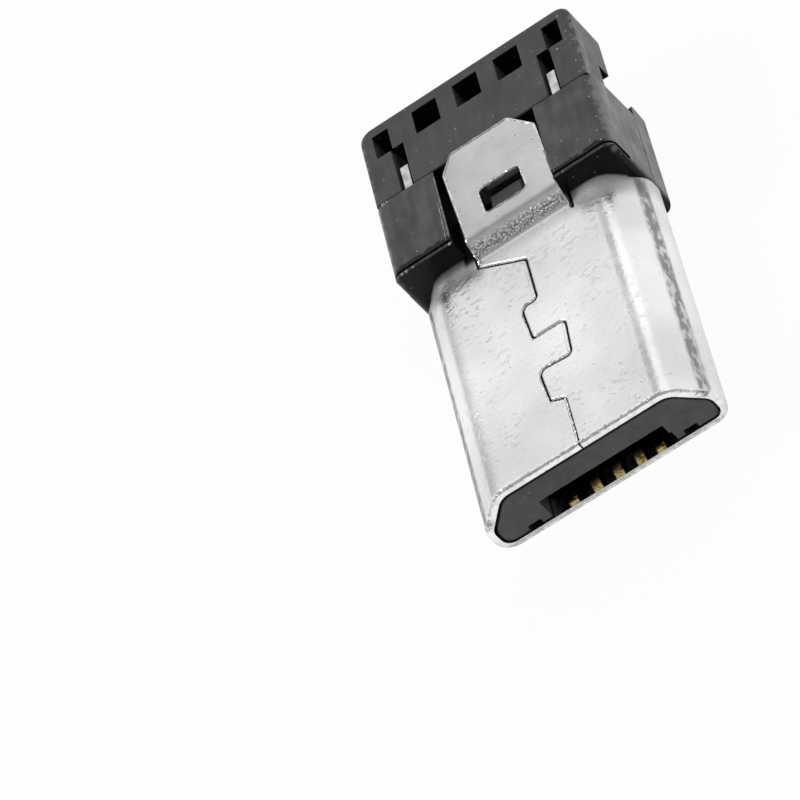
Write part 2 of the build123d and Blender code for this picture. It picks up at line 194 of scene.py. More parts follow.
def addSky(values):
    world = bpy.data.worlds.new("sky")
    bpy.context.scene.world = world
    world.use_nodes = True
    tree = world.node_tree
    tree.nodes.clear()
    out = addNode(tree, "ShaderNodeOutputWorld")
    background = addNode(tree, "ShaderNodeBackground", Strength=values["skyStrength"])
    place = addNode(tree, "ShaderNodeTexCoord").outputs["Generated"]
    along = addNode(tree, "ShaderNodeVectorMath", operation="DOT_PRODUCT")
    along.inputs[1].default_value = values["skyBright"]
    shift = addNode(tree, "ShaderNodeMapRange")
    shift.inputs["From Min"].default_value = -1.0
    ramp = addNode(tree, "ShaderNodeValToRGB")
    stops = ramp.color_ramp.elements
    while len(stops) < len(values["skyStops"]):
        stops.new(0.5)
    for stop, (spot, grey) in zip(stops, values["skyStops"]):
        stop.position = spot
        stop.color = (grey, grey, grey, 1)
    shares = []
    for patch in ("gap", "strip"):
        toward = addNode(tree, "ShaderNodeVectorMath", operation="DOT_PRODUCT")
        toward.inputs[1].default_value = values[patch + "Way"]
        tree.links.new(place, toward.inputs[0])
        shares.append(fall(tree, toward.outputs["Value"], values[patch + "Spread"], values[patch + "Share"]))
    panels = addNode(tree, "ShaderNodeVectorMath", operation="SCALE")
    tree.links.new(place, along.inputs[0])
    tree.links.new(along.outputs["Value"], shift.inputs["Value"])
    tree.links.new(shift.outputs["Result"], ramp.inputs["Fac"])
    tree.links.new(ramp.outputs["Color"], panels.inputs[0])
    tree.links.new(times(tree, *shares), panels.inputs["Scale"])
    tree.links.new(panels.outputs["Vector"], background.inputs["Color"])
    tree.links.new(background.outputs[0], out.inputs["Surface"])


def addLamp(values):
    data = bpy.data.lights.new("softLamp", "AREA")
    data.energy = values["lampPower"]
    data.size = values["lampSize"]
    lamp = bpy.data.objects.new("softLamp", data)
    bpy.context.collection.objects.link(lamp)
    place = Vector(values["lampPlace"])
    turn = (-place).to_track_quat("-Z", "Y").to_matrix().to_4x4()
    lamp.matrix_world = Matrix.Translation(place) @ turn


bpy.context.scene.view_settings.view_transform = "Standard"
addFloor(studioSet)
addSky(studioSet)
addLamp(studioSet)
print("studio lit")


# Finishes. Places, depths and radii are in mm, and a grain is its scale per mm and its detail
def newFinish(name):
    material = bpy.data.materials.new(name)
    material.use_nodes = True
    tree = material.node_tree
    tree.nodes.clear()
    out = addNode(tree, "ShaderNodeOutputMaterial")
    shader = addNode(tree, "ShaderNodeBsdfPrincipled")
    tree.links.new(shader.outputs["BSDF"], out.inputs["Surface"])
    return material, tree, shader


def inMillimetres(tree, stretch=(1, 1, 1)):
    place = addNode(tree, "ShaderNodeTexCoord")
    scaled = addNode(tree, "ShaderNodeVectorMath", operation="MULTIPLY")
    scaled.inputs[1].default_value = [s / mm for s in stretch]
    tree.links.new(place.outputs["Object"], scaled.inputs[0])
    return scaled.outputs["Vector"]


def splitUp(tree, place):
    parts = addNode(tree, "ShaderNodeSeparateXYZ")
    tree.links.new(place, parts.inputs[0])
    return parts.outputs["X"], parts.outputs["Y"], parts.outputs["Z"]


def grainOf(tree, place, scale, detail):
    node = addNode(tree, "ShaderNodeTexNoise", Scale=scale, Detail=detail)
    tree.links.new(place, node.inputs["Vector"])
    return node.outputs["Fac"]


def specksOf(tree, place, scale, size, share):
    cells = addNode(tree, "ShaderNodeTexVoronoi", Scale=scale)
    tree.links.new(place, cells.inputs["Vector"])
    spot = fall(tree, cells.outputs["Distance"], (size * 0.5, size))
    pick = addNode(tree, "ShaderNodeSeparateColor")
    tree.links.new(cells.outputs["Color"], pick.inputs[0])
    return times(tree, spot, combine(tree, "LESS_THAN", pick.outputs[0], share))


def blendOf(tree, share, first, second):
    node = addNode(tree, "ShaderNodeMix", data_type="RGBA")
    tree.links.new(share, node.inputs[0])
    for socket, value in ((node.inputs[6], first), (node.inputs[7], second)):
        if isinstance(value, tuple):
            socket.default_value = value
        else:
            tree.links.new(value, socket)
    return node.outputs[2]


def shadeOf(tree, colour, tone):
    node = addNode(tree, "ShaderNodeVectorMath", operation="SCALE")
    node.inputs[0].default_value = colour[:3]
    tree.links.new(tone, node.inputs["Scale"])
    return node.outputs["Vector"]


edgeSet = {"samples": 4, "turn": (0.80, 0.985)}     # cosines between a worn edge and a flat face


def roundedEdge(tree, radius):
    bevel = addNode(tree, "ShaderNodeBevel", Radius=radius * mm)
    bevel.samples = edgeSet["samples"]
    face = addNode(tree, "ShaderNodeNewGeometry")
    turn = addNode(tree, "ShaderNodeVectorMath", operation="DOT_PRODUCT")
    tree.links.new(bevel.outputs["Normal"], turn.inputs[0])
    tree.links.new(face.outputs["Normal"], turn.inputs[1])
    return bevel.outputs["Normal"], fall(tree, turn.outputs["Value"], edgeSet["turn"])


def bumpFrom(tree, shader, height, normal):
    bump = addNode(tree, "ShaderNodeBump", Strength=1.0, Distance=mm)
    tree.links.new(height, bump.inputs["Height"])
    tree.links.new(normal, bump.inputs["Normal"])
    tree.links.new(bump.outputs["Normal"], shader.inputs["Normal"])


plateSet = {
    "colour": (0.81, 0.81, 0.80, 1),
    "bright": (0.97, 0.97, 0.96, 1),      # polished edges, brightened further as painted highlights, and the painted glints and sparkles
    "dark": (0.20, 0.20, 0.20, 1),        # pits and dents, painted shade on the tab's step and a painted dark reflection along the side folds
    "shadow": (0.02, 0.02, 0.02, 1),      # painted shadow inside the mouth past the contacts' tips, and beside the tab
    "edgeRadius": 0.045,
    "roughness": 0.22, "roughGrain": (2.2, 3.0), "roughPatch": (0.3, 0.7), "roughSpread": (-0.03, 0.05),
    # inside of the wide face, which mirrors the contacts, and the painted shadow deeper in
    "innerRoughness": 0.06,
    "innerUp": ((0.80, 0.83), (0.92, 0.96)), "innerSide": (3.0, 3.1), "deepFrom": (-6.42, -6.20),
    # skin of the plating, flatter on the tab
    "peelGrain": (8.5, 4.0), "peelDepth": 0.0085, "peelTab": (2.90, 3.05), "tabPeel": 0.35,
    # short dents, in patches, few on the tab
    "fleckGrain": (7.5, 3.0), "fleckDepth": 0.0054, "fleckStretch": (0.62, 1.0, 1.0),
    "fleckFrom": (0.55, 0.68), "patchGrain": (0.9, 2.0), "fleckPatch": (0.40, 0.62), "fleckLeast": 0.12,
    "fleckTab": (2.60, 2.95), "tabFleck": 0.10, "fleckDark": 0.13,
    # crumpled metal where the tab steps up, with painted highlights on its wrinkles, painted shade in its
    # crease and hollows, and a darker band at the top
    "topFrom": (2.45, 2.54), "tabAcross": ((-1.27, -1.25), (1.57, 1.60)),
    "stepAlong": ((0.78, 0.88), (1.04, 1.16)), "wrinkleStretch": (0.8, 1.0, 1.0),
    "wrinkleGrain": (19.0, 4.0), "wrinkleDepth": 0.032, "sparkFrom": (0.50, 0.57),
    "bendGrain": (4.0, 3.0), "bendWobble": 0.14,
    "creaseAlong": ((0.82, 0.87), (0.89, 0.95)), "creaseFrom": (0.36, 0.50), "creaseDark": 0.90,
    "hollowShadeAlong": ((0.86, 0.90), (1.00, 1.08)), "hollowShadeUnder": (0.44, 0.50), "hollowShadeDark": 0.75,
    "upperAlong": ((1.15, 1.19), (1.20, 1.26)), "upperDark": 0.22,
    # rim of the mouth, rough, with glints above and a greyer line below
    "rimFront": (-6.86, -6.78), "rimGrain": (14.0, 3.0), "rimDepth": 0.022,
    "glintUp": (0.95, 1.35), "glintGrain": (7.0, 3.0), "glintPatch": (0.36, 0.60), "glintShare": 0.8,
    "lowRimFront": (-6.88, -6.84), "lowRimUp": (0.82, 0.90),
    "lowRimPatch": (0.38, 0.60), "lowRimDark": (0.15, 0.55),
    # rougher, crushed band along each side fold, with a painted dark reflection in streaks
    "foldHeight": 1.775, "foldSpread": (0.068, 0.17), "foldSide": (2.85, 3.0), "foldEnd": (0.9, 1.3),
    "foldStretch": (1.0, 0.34, 1.0), "foldGrain": (8.0, 5.0), "foldPatch": (0.36, 0.56), "foldLeast": 0.30,
    "foldDark": 0.86, "foldRough": 0.14, "crushGrain": (13.0, 4.0), "crushDepth": 0.030,
    "pits": (3.2, 0.085, 0.45), "pitDark": 0.7,     # scale, size, share of cells
    # painted shadow in the gap between the tab's root and the collar
    "gapShadowAcross": ((-1.70, -1.58), (-1.27, -1.24)), "gapShadowAlong": (0.72, 1.02),
    "gapShadowUp": ((2.0, 2.3), (2.60, 2.75)),
    # tone: stains, greyer flanks, paler amidships, greyer on the tab and towards the left rear
    "stainGrain": (0.55, 4.0), "stainPatch": (0.35, 0.68), "stainTone": (0.90, 1.04),
    "flankSide": (3.26, 3.36), "flankUp": (1.0, 1.7), "flankTone": 0.87,
    "midAlong": ((-5.6, -3.6), (-2.2, 0.2)), "midTone": 1.10,
    "tabUp": (2.9, 3.0), "tabTone": 0.94,
    "leftRearAcross": (-2.0, 0.4), "leftRearAlong": (-1.6, 0.0), "leftRearTone": 0.91,
    # rubbed rough and matt beside the collar
    "collarAlong": (0.20, 0.90), "collarUp": (2.60, 2.75), "collarRough": 0.34,
    "mattAcross": (1.60, 2.10), "mattShare": 0.75,
}


def makePlate(values):
    material, tree, shader = newFinish("nickelPlate")
    place = inMillimetres(tree)
    across, along, up = splitUp(tree, place)
    side = sizeOf(tree, across)
    normal, edge = roundedEdge(tree, values["edgeRadius"])

    # where the marks lie
    tabTop = times(tree, rise(tree, up, values["topFrom"]), band(tree, across, *values["tabAcross"]))
    stepUp = times(tree, band(tree, along, *values["stepAlong"]), tabTop)
    rim = fall(tree, along, values["rimFront"])
    fromFold = sizeOf(tree, combine(tree, "SUBTRACT", up, values["foldHeight"]))
    fold = times(
        tree,
        fall(tree, fromFold, values["foldSpread"]),
        rise(tree, side, values["foldSide"]),
        fall(tree, along, values["foldEnd"]),
    )
    inner = times(tree, band(tree, up, *values["innerUp"]), fall(tree, side, values["innerSide"]))
    outer = combine(tree, "SUBTRACT", 1.0, inner)
    byCollar = times(tree, rise(tree, along, values["collarAlong"]), fall(tree, up, values["collarUp"]))

    # height of the surface
    peel = times(
        tree,
        grainOf(tree, place, *values["peelGrain"]),
        values["peelDepth"],
        fall(tree, up, values["peelTab"], values["tabPeel"]),
    )
    dents = grainOf(tree, inMillimetres(tree, values["fleckStretch"]), *values["fleckGrain"])
    patches = grainOf(tree, place, *values["patchGrain"])
    fleck = times(
        tree,
        rise(tree, dents, values["fleckFrom"]),
        rise(tree, patches, values["fleckPatch"], values["fleckLeast"]),
        fall(tree, up, values["fleckTab"], values["tabFleck"]),
    )
    wrinkle = grainOf(tree, inMillimetres(tree, values["wrinkleStretch"]), *values["wrinkleGrain"])
    height = added(
        tree,
        combine(tree, "SUBTRACT", peel, times(tree, fleck, values["fleckDepth"])),
        times(tree, wrinkle, stepUp, values["wrinkleDepth"]),
        times(tree, grainOf(tree, place, *values["rimGrain"]), values["rimDepth"], rim),
        times(tree, grainOf(tree, place, *values["crushGrain"]), values["crushDepth"], fold),
    )
    bumpFrom(tree, shader, times(tree, height, outer), normal)

    # dark marks
    # painted dark reflection in streaks along each side fold
    streak = grainOf(tree, inMillimetres(tree, values["foldStretch"]), *values["foldGrain"])
    foldReflection = times(
        tree,
        fold,
        rise(tree, streak, values["foldPatch"], values["foldLeast"]),
        values["foldDark"],
    )
    pit = times(tree, specksOf(tree, place, *values["pits"]), values["pitDark"])
    uneven = combine(tree, "SUBTRACT", grainOf(tree, place, *values["bendGrain"]), 0.5)
    bend = added(tree, along, times(tree, uneven, values["bendWobble"]))
    # painted shade along the crease low on the step
    crease = times(
        tree,
        band(tree, bend, *values["creaseAlong"]),
        tabTop,
        rise(tree, wrinkle, values["creaseFrom"]),
        values["creaseDark"],
    )
    # painted shade in the hollows of the step's wrinkles
    hollowShade = times(
        tree,
        band(tree, bend, *values["hollowShadeAlong"]),
        tabTop,
        fall(tree, wrinkle, values["hollowShadeUnder"]),
        values["hollowShadeDark"],
    )
    upper = times(tree, band(tree, along, *values["upperAlong"]), tabTop, values["upperDark"])
    glints = grainOf(tree, place, *values["glintGrain"])
    lowRim = times(
        tree,
        fall(tree, along, values["lowRimFront"]),
        fall(tree, up, values["lowRimUp"]),
        between(tree, glints, *values["lowRimPatch"], *values["lowRimDark"]),
    )
    dark = largest(tree, foldReflection, pit, crease, hollowShade, lowRim, upper, times(tree, fleck, values["fleckDark"]))

    # tone of the bare plate
    # paler amidships and darker towards the left rear
    middleBand = band(tree, along, *values["midAlong"])
    flank = times(tree, rise(tree, side, values["flankSide"]), fall(tree, up, values["flankUp"]))
    leftRear = times(
        tree,
        fall(tree, across, values["leftRearAcross"]),
        rise(tree, along, values["leftRearAlong"]),
    )
    stain = grainOf(tree, place, *values["stainGrain"])
    tone = times(
        tree,
        between(tree, stain, *values["stainPatch"], *values["stainTone"]),
        tinted(tree, flank, values["flankTone"]),
        tinted(tree, middleBand, values["midTone"]),
        fall(tree, up, values["tabUp"], values["tabTone"]),
        tinted(tree, leftRear, values["leftRearTone"]),
    )

    # colour, from the bare plate up to the polished edges and painted highlights, and the painted shadow in
    # hidden places
    # painted glints along the top of the mouth's rim
    glint = times(
        tree,
        rim,
        rise(tree, up, values["glintUp"]),
        rise(tree, glints, values["glintPatch"]),
        values["glintShare"],
    )
    # painted highlights on the crests of the step's wrinkles
    spark = times(tree, rise(tree, wrinkle, values["sparkFrom"]), stepUp)
    # painted shadow deep in the mouth and in the gap beside the tab's root
    deep = times(tree, inner, rise(tree, along, values["deepFrom"]))
    gapShadow = times(
        tree,
        band(tree, across, *values["gapShadowAcross"]),
        rise(tree, along, values["gapShadowAlong"]),
        band(tree, up, *values["gapShadowUp"]),
    )
    colour = blendOf(tree, dark, shadeOf(tree, values["colour"], tone), values["dark"])
    colour = blendOf(tree, largest(tree, edge, spark, glint), colour, values["bright"])
    colour = blendOf(tree, inner, colour, values["bright"])
    colour = blendOf(tree, largest(tree, deep, gapShadow), colour, values["shadow"])
    tree.links.new(colour, shader.inputs["Base Color"])

    # roughness, and less metal where it is rubbed matt
    patchy = grainOf(tree, place, *values["roughGrain"])
    smooth, coarse = (values["roughness"] + change for change in values["roughSpread"])
    rough = added(
        tree,
        between(tree, patchy, *values["roughPatch"], smooth, coarse),
        times(tree, fold, values["foldRough"]),
        times(tree, byCollar, values["collarRough"]),
    )
    rough = added(tree, times(tree, rough, outer), times(tree, inner, values["innerRoughness"]))
    tree.links.new(rough, shader.inputs["Roughness"])
    matt = times(tree, byCollar, rise(tree, across, values["mattAcross"]), values["mattShare"])
    tree.links.new(combine(tree, "SUBTRACT", 1.0, matt), shader.inputs["Metallic"])
    return material


plasticSet = {
    "colour": (0.041, 0.041, 0.042, 1),
    "pale": (0.30, 0.30, 0.30, 1),        # worn edges and specks
    "black": (0.004, 0.004, 0.004, 1),    # painted shade: the glossy nose of the collar, its groove and its recess wall
    "gloss": 0.5,
    "edgeRadius": 0.035,
    "roughness": 0.44, "roughGrain": (1.6, 3.0), "roughPatch": (0.3, 0.7), "roughSpread": (-0.05, 0.06),
    "noseRoughness": 0.27,
    "noseFacing": (-0.85, -0.45), "noseFrom": (0.6, 1.0),
    "wallFacing": (0.5, 0.8), "wallAcross": ((-1.80, -1.70), (-1.48, -1.42)),
    "lipGrain": (6.0, 4.0), "lipWobble": 0.32,
    "grooveFacing": (0.35, 0.75), "grooveAlong": ((1.19, 1.22), (1.43, 1.48)), "grooveUp": (2.2, 2.5),
    # mottling, flow lines, a greyer mouth, and painted light that makes the side faces lighter
    "cloudGrain": (1.4, 5.0), "cloudPatch": (0.34, 0.66), "cloudTone": (0.82, 1.18),
    "streakStretch": (1.0, 0.12, 1.0), "streakGrain": (5.0, 3.0),
    "streakPatch": (0.35, 0.65), "streakTone": (0.86, 1.14),
    "sideFacing": (0.5, 0.95), "paintedSideLight": 2.0,
    "mouthEnd": (-6.2, -5.9), "mouthTone": 1.28,
    # pale wear on edges and shoulders, and specks
    "wornPatch": (0.42, 0.66), "wornPale": 0.36,
    "shoulderSide": (3.18, 3.27), "shoulderUp": (2.80, 2.95),
    "rubGrain": (4.0, 5.0), "rubPatch": (0.44, 0.62), "rubPale": 0.50,
    "bigSpecks": (6.0, 0.17, 0.14), "smallSpecks": (2.4, 0.060, 0.5), "speckPale": 0.75,
    "fineGrain": (26.0, 3.0), "fineDepth": 0.0024, "waveGrain": (2.0, 2.0), "waveDepth": 0.010,
}
sleeveSet = {                             # the collar is duller and a little greyer
    "colour": (0.084, 0.084, 0.085, 1),
    # painted light: the collar's side faces are made lighter still
    "paintedSideLight": 2.75,
    "gloss": 0.18,
}


def makePlastic(name, values):
    material, tree, shader = newFinish(name)
    shader.inputs["Specular IOR Level"].default_value = values["gloss"]
    place = inMillimetres(tree)
    across, along, up = splitUp(tree, place)
    normal, edge = roundedEdge(tree, values["edgeRadius"])
    facing = addNode(tree, "ShaderNodeTexCoord")
    sideways, turned = splitUp(tree, facing.outputs["Normal"])[:2]
    flat = sizeOf(tree, sideways)
    ragged = grainOf(tree, place, *values["lipGrain"])

    # the black places: painted shade on the nose, in the groove and on the recess wall
    front = times(tree, fall(tree, turned, values["noseFacing"]), rise(tree, along, values["noseFrom"]))
    wall = times(tree, rise(tree, sideways, values["wallFacing"]), band(tree, across, *values["wallAcross"]))
    lip = added(tree, along, times(tree, combine(tree, "SUBTRACT", ragged, 0.5), values["lipWobble"]))
    groove = times(
        tree,
        fall(tree, flat, values["grooveFacing"]),
        band(tree, lip, *values["grooveAlong"]),
        rise(tree, up, values["grooveUp"]),
    )
    black = largest(tree, front, wall, groove)

    # tone, then the pale wear
    cloud = grainOf(tree, place, *values["cloudGrain"])
    streak = grainOf(tree, inMillimetres(tree, values["streakStretch"]), *values["streakGrain"])
    # painted light: the side faces are made lighter than the tops
    tone = times(
        tree,
        between(tree, cloud, *values["cloudPatch"], *values["cloudTone"]),
        between(tree, along, *values["mouthEnd"], values["mouthTone"], 1.0),
        between(tree, streak, *values["streakPatch"], *values["streakTone"]),
        between(tree, flat, *values["sideFacing"], 1.0, values["paintedSideLight"]),
    )
    shoulder = times(
        tree,
        rise(tree, sizeOf(tree, across), values["shoulderSide"]),
        rise(tree, up, values["shoulderUp"]),
    )
    worn = times(tree, edge, rise(tree, ragged, values["wornPatch"]), values["wornPale"])
    scuffs = grainOf(tree, place, *values["rubGrain"])
    rubbed = times(tree, shoulder, between(tree, scuffs, *values["rubPatch"], 0.0, values["rubPale"]))
    specks = largest(
        tree,
        specksOf(tree, place, *values["bigSpecks"]),
        specksOf(tree, place, *values["smallSpecks"]),
    )
    pale = largest(tree, worn, rubbed, times(tree, specks, values["speckPale"]))
    colour = blendOf(tree, black, shadeOf(tree, values["colour"], tone), values["black"])
    tree.links.new(blendOf(tree, pale, colour, values["pale"]), shader.inputs["Base Color"])

    patchy = grainOf(tree, place, *values["roughGrain"])
    smooth, coarse = (values["roughness"] + change for change in values["roughSpread"])
    rough = between(tree, patchy, *values["roughPatch"], smooth, coarse)
    shine = times(tree, black, values["roughness"] - values["noseRoughness"])
    tree.links.new(combine(tree, "SUBTRACT", rough, shine), shader.inputs["Roughness"])
    fine = times(tree, grainOf(tree, place, *values["fineGrain"]), values["fineDepth"])
    waves = times(tree, grainOf(tree, place, *values["waveGrain"]), values["waveDepth"])
    bumpFrom(tree, shader, added(tree, fine, waves), normal)
    return material


goldSet = {
    "colour": (1.0, 0.84, 0.40, 1),
    "brown": (0.58, 0.36, 0.10, 1),
    "tin": (0.64, 0.64, 0.63, 1),
    "greyTin": (0.34, 0.34, 0.33, 1),
    "roughness": 0.08, "tinRoughness": 0.36,
    "tinFrom": (3.2, 3.45),               # along the plug, tinned behind this
    "smearGrain": (6.0, 4.0), "goldPatch": (0.50, 0.60), "tinPatch": (0.42, 0.62),
    "tinGrain": (9.0, 4.0), "tinDepth": 0.010,
    "rolledStretch": (1.0, 0.1, 1.0), "rolledGrain": (14.0, 2.0), "rolledDepth": 0.0040,
    "edgeRadius": 0.03,
}


def makeGold(values):
    material, tree, shader = newFinish("goldContact")
    shader.inputs["Metallic"].default_value = 1.0
    place = inMillimetres(tree)
    along = splitUp(tree, place)[1]
    normal = roundedEdge(tree, values["edgeRadius"])[0]
    tinned = rise(tree, along, values["tinFrom"])
    smear = grainOf(tree, place, *values["smearGrain"])
    gold = blendOf(tree, rise(tree, smear, values["goldPatch"]), values["colour"], values["brown"])
    tin = blendOf(tree, rise(tree, smear, values["tinPatch"]), values["tin"], values["greyTin"])
    tree.links.new(blendOf(tree, tinned, gold, tin), shader.inputs["Base Color"])
    rough = between(tree, tinned, 0.0, 1.0, values["roughness"], values["tinRoughness"])
    tree.links.new(rough, shader.inputs["Roughness"])
    lumps = times(tree, grainOf(tree, place, *values["tinGrain"]), values["tinDepth"], tinned)
    rolled = grainOf(tree, inMillimetres(tree, values["rolledStretch"]), *values["rolledGrain"])
    bumpFrom(tree, shader, added(tree, lumps, times(tree, rolled, values["rolledDepth"])), normal)
    return material


springSet = {
    "colour": (0.70, 0.70, 0.69, 1),
    "dull": (0.42, 0.42, 0.41, 1),
    "roughness": 0.30,
    "patchGrain": (3.5, 4.0), "patch": (0.38, 0.64), "patchDepth": 0.002,
    "scratchStretch": (1.0, 0.10, 1.0), "scratchGrain": (14.0, 3.0), "scratchDepth": 0.005,
    "edgeRadius": 0.03,
}


def makeSpring(values):
    material, tree, shader = newFinish("springSteel")
    shader.inputs["Metallic"].default_value = 1.0
    shader.inputs["Roughness"].default_value = values["roughness"]
    place = inMillimetres(tree)
    normal = roundedEdge(tree, values["edgeRadius"])[0]
    patchy = rise(tree, grainOf(tree, place, *values["patchGrain"]), values["patch"])
    tree.links.new(blendOf(tree, patchy, values["colour"], values["dull"]), shader.inputs["Base Color"])
    scratch = grainOf(tree, inMillimetres(tree, values["scratchStretch"]), *values["scratchGrain"])
    lines = times(tree, scratch, values["scratchDepth"])
    bumpFrom(tree, shader, added(tree, lines, times(tree, patchy, values["patchDepth"])), normal)
    return material


def dress(node, material):
    node.data.materials.clear()
    node.data.materials.append(material)


plate = makePlate(plateSet)
plastic = makePlastic("blackMoulding", plasticSet)
sleeve = makePlastic("collarMoulding", {**plasticSet, **sleeveSet})
gold = makeGold(goldSet)
spring = makeSpring(springSet)
for name, node in nodes.items():
    if name == "shell":
        dress(node, plate)
    elif name.startswith("contact"):
        dress(node, gold)
    elif name.startswith("latch"):
        dress(node, spring)
    elif name == "collar":
        dress(node, sleeve)
    else:
        dress(node, plastic)
print("finishes made")


def addPiece(name, mesh, material, body="plug"):
    mesh.materials.append(material)
    piece = bpy.data.objects.new(name, mesh)
    bpy.context.collection.objects.link(piece)
    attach(piece, body)


def meshOf(name, corners, faces):
    mesh = bpy.data.meshes.new(name)
    mesh.from_pydata([tuple(length * mm for length in corner) for corner in corners], [], faces)
    mesh.validate()
    work = bmesh.new()
    work.from_mesh(mesh)
    bmesh.ops.recalc_face_normals(work, faces=work.faces)
    work.to_mesh(mesh)
    work.free()
    return mesh


def evenly(points, step):
    run = [points[0]]
    for start, end in zip(points, points[1:]):
        count = max(1, round((end - start).length / step))
        run += [start.lerp(end, (i + 1) / count) for i in range(count)]
    return run


def shifted(points, aside):
    moved = []
    for i, point in enumerate(points):
        ahead = Vector(points[min(i + 1, len(points) - 1)]) - Vector(points[max(i - 1, 0)])
        left = Vector((-ahead.y, ahead.x, 0)).normalized()
        moved.append(tuple(Vector(point) + left * aside))
    return moved


# Ridges: fine and uneven, each along a line on a surface and sunk a little into it
ridgeSet = {
    "section": [(-1.0, -0.5), (-0.62, 0.6), (0.0, 1.0), (0.62, 0.6), (1.0, -0.5)],   # half widths, heights
    "endShare": 0.3, "narrowest": 0.6, "slip": 0.2,
}


def addRidge(name, values, material, lines):
    draw = random.Random(values["seed"])
    section = ridgeSet["section"]
    turns = len(section)
    corners, faces = [], []
    for points, facing in lines:
        run = evenly([Vector(p) for p in points], values["step"])
        out = Vector(facing).normalized()
        first = len(corners)
        last = first + (len(run) - 1) * turns
        for i, point in enumerate(run):
            ahead = (run[min(i + 1, len(run) - 1)] - run[max(i - 1, 0)]).normalized()
            if values.get("round"):     # the mouth's rim: outward is square to the line
                out = Vector((0, 1, 0)).cross(ahead).normalized()
            beside = ahead.cross(out).normalized()
            share = ridgeSet["endShare"] if i in (0, len(run) - 1) else 1.0
            tall = values["height"] * share * draw.uniform(values["least"], 1.0)
            wide = values["width"] / 2 * share * draw.uniform(ridgeSet["narrowest"], 1.0)
            slip = values["width"] * draw.uniform(-ridgeSet["slip"], ridgeSet["slip"])
            corners += [point + beside * (a * wide + slip) + out * b * tall for a, b in section]
        for start in range(first, last, turns):
            for j in range(turns):
                k = (j + 1) % turns
                faces.append((start + j, start + k, start + turns + k, start + turns + j))
        faces.append(tuple(range(first, first + turns))[::-1])
        faces.append(tuple(range(last, last + turns)))
    addPiece(name, meshOf(name, corners, faces), material)


burrSet = {
    "colour": (0.98, 0.98, 0.97, 1), "patches": (0.62, 0.62, 0.61, 1),
    "roughness": 0.16, "metallic": 1.0, "grain": (9.0, 2.0), "patchFrom": (0.35, 0.6),
}
chipSet = {
    "colour": (0.16, 0.16, 0.16, 1), "patches": (0.46, 0.46, 0.45, 1),
    "roughness": 0.6, "metallic": 0.0, "grain": (14.0, 3.0), "patchFrom": (0.36, 0.62),
}


def makeTrim(name, values):
    material, tree, shader = newFinish(name)
    shader.inputs["Metallic"].default_value = values["metallic"]
    shader.inputs["Roughness"].default_value = values["roughness"]
    patchy = rise(tree, grainOf(tree, inMillimetres(tree), *values["grain"]), values["patchFrom"])
    tree.links.new(blendOf(tree, patchy, values["colour"], values["patches"]), shader.inputs["Base Color"])
    return material


burr = makeTrim("shearedEdge", burrSet)
chipped = makeTrim("chippedMoulding", chipSet)

# Seam: a burr on the left-hand sheet, and metal smeared over the slit beside the mouth
seamTop = 2.55
seamBurrSet = {
    "height": 0.016, "width": 0.038, "least": 0.2, "step": 0.05, "seed": 11, "aside": 0.068,
    "path": [
        (-0.12, -5.20), (-0.36, -5.10), (-0.46, -4.15), (-0.34, -3.95), (0.46, -4.0), (0.53, -2.80),
        (-0.38, -2.78), (-0.46, -1.80), (-0.34, -1.60), (-0.03, -1.58), (-0.02, -0.15),
    ],
}
seamSmearSet = {
    "height": 0.014, "width": 0.070, "least": 0.25, "step": 0.05, "seed": 13, "aside": 0.012,
    "path": [(0, -6.80), (0, -5.24)],
}
for name, values in (("seamBurr", seamBurrSet), ("seamSmear", seamSmearSet)):
    seamLine = [(x, y, seamTop) for x, y in values["path"]]
    addRidge(name, values, burr, [(shifted(seamLine, values["aside"]), (0, 0, 1))])

# Tab: burrs round its edge, down its root and round its window, heavier along the window's rear side
tabBurrSet = {
    "height": 0.030, "width": 0.055, "least": 0.7, "step": 0.09, "seed": 5,
    "left": -1.215, "right": 1.535, "front": 1.20, "rear": 3.895,
    "leftCorner": (-0.845, 3.42), "rightCorner": (0.905, 3.27),     # where the slanted corners begin
    "start": (1.18, 3.0), "climb": 0.1636,      # y and z of the tab's front, and its climb per mm
    "rootLeft": [(-1.225, 1.15, 2.97), (-1.225, 0.82, 2.60), (-1.225, 0.68, 2.555), (-1.12, 0.60, 2.55)],
    "rootRight": [(1.545, 1.15, 2.97), (1.545, 0.82, 2.60), (1.545, 0.66, 2.555)],
    "rootFacing": (0, -0.3, 1),
}
rootBurrSet = {
    "height": 0.034, "width": 0.105, "least": 0.75, "step": 0.05, "seed": 17,
    "path": [
        (-1.235, 1.30, 3.02), (-1.25, 1.16, 2.975), (-1.25, 0.80, 2.575),
        (-1.24, 0.66, 2.55), (-1.13, 0.585, 2.545),
    ],
    "facing": (-0.62, 0.0, 0.78),
}
windowBurrSet = {
    "height": 0.030, "width": 0.055, "least": 0.7, "step": 0.07, "seed": 7,
    "left": -0.51, "right": 0.79, "front": 1.61, "rear": 2.405, "corner": 0.10,
}
beadSet = {
    "height": 0.045, "width": 0.075, "least": 0.1, "step": 0.06, "seed": 21,
    "path": [(-0.39, 2.43), (0.71, 2.43)],
}


def onTab(points):
    startY, startZ = tabBurrSet["start"]
    return [(x, y, startZ + (y - startY) * tabBurrSet["climb"]) for x, y in points]


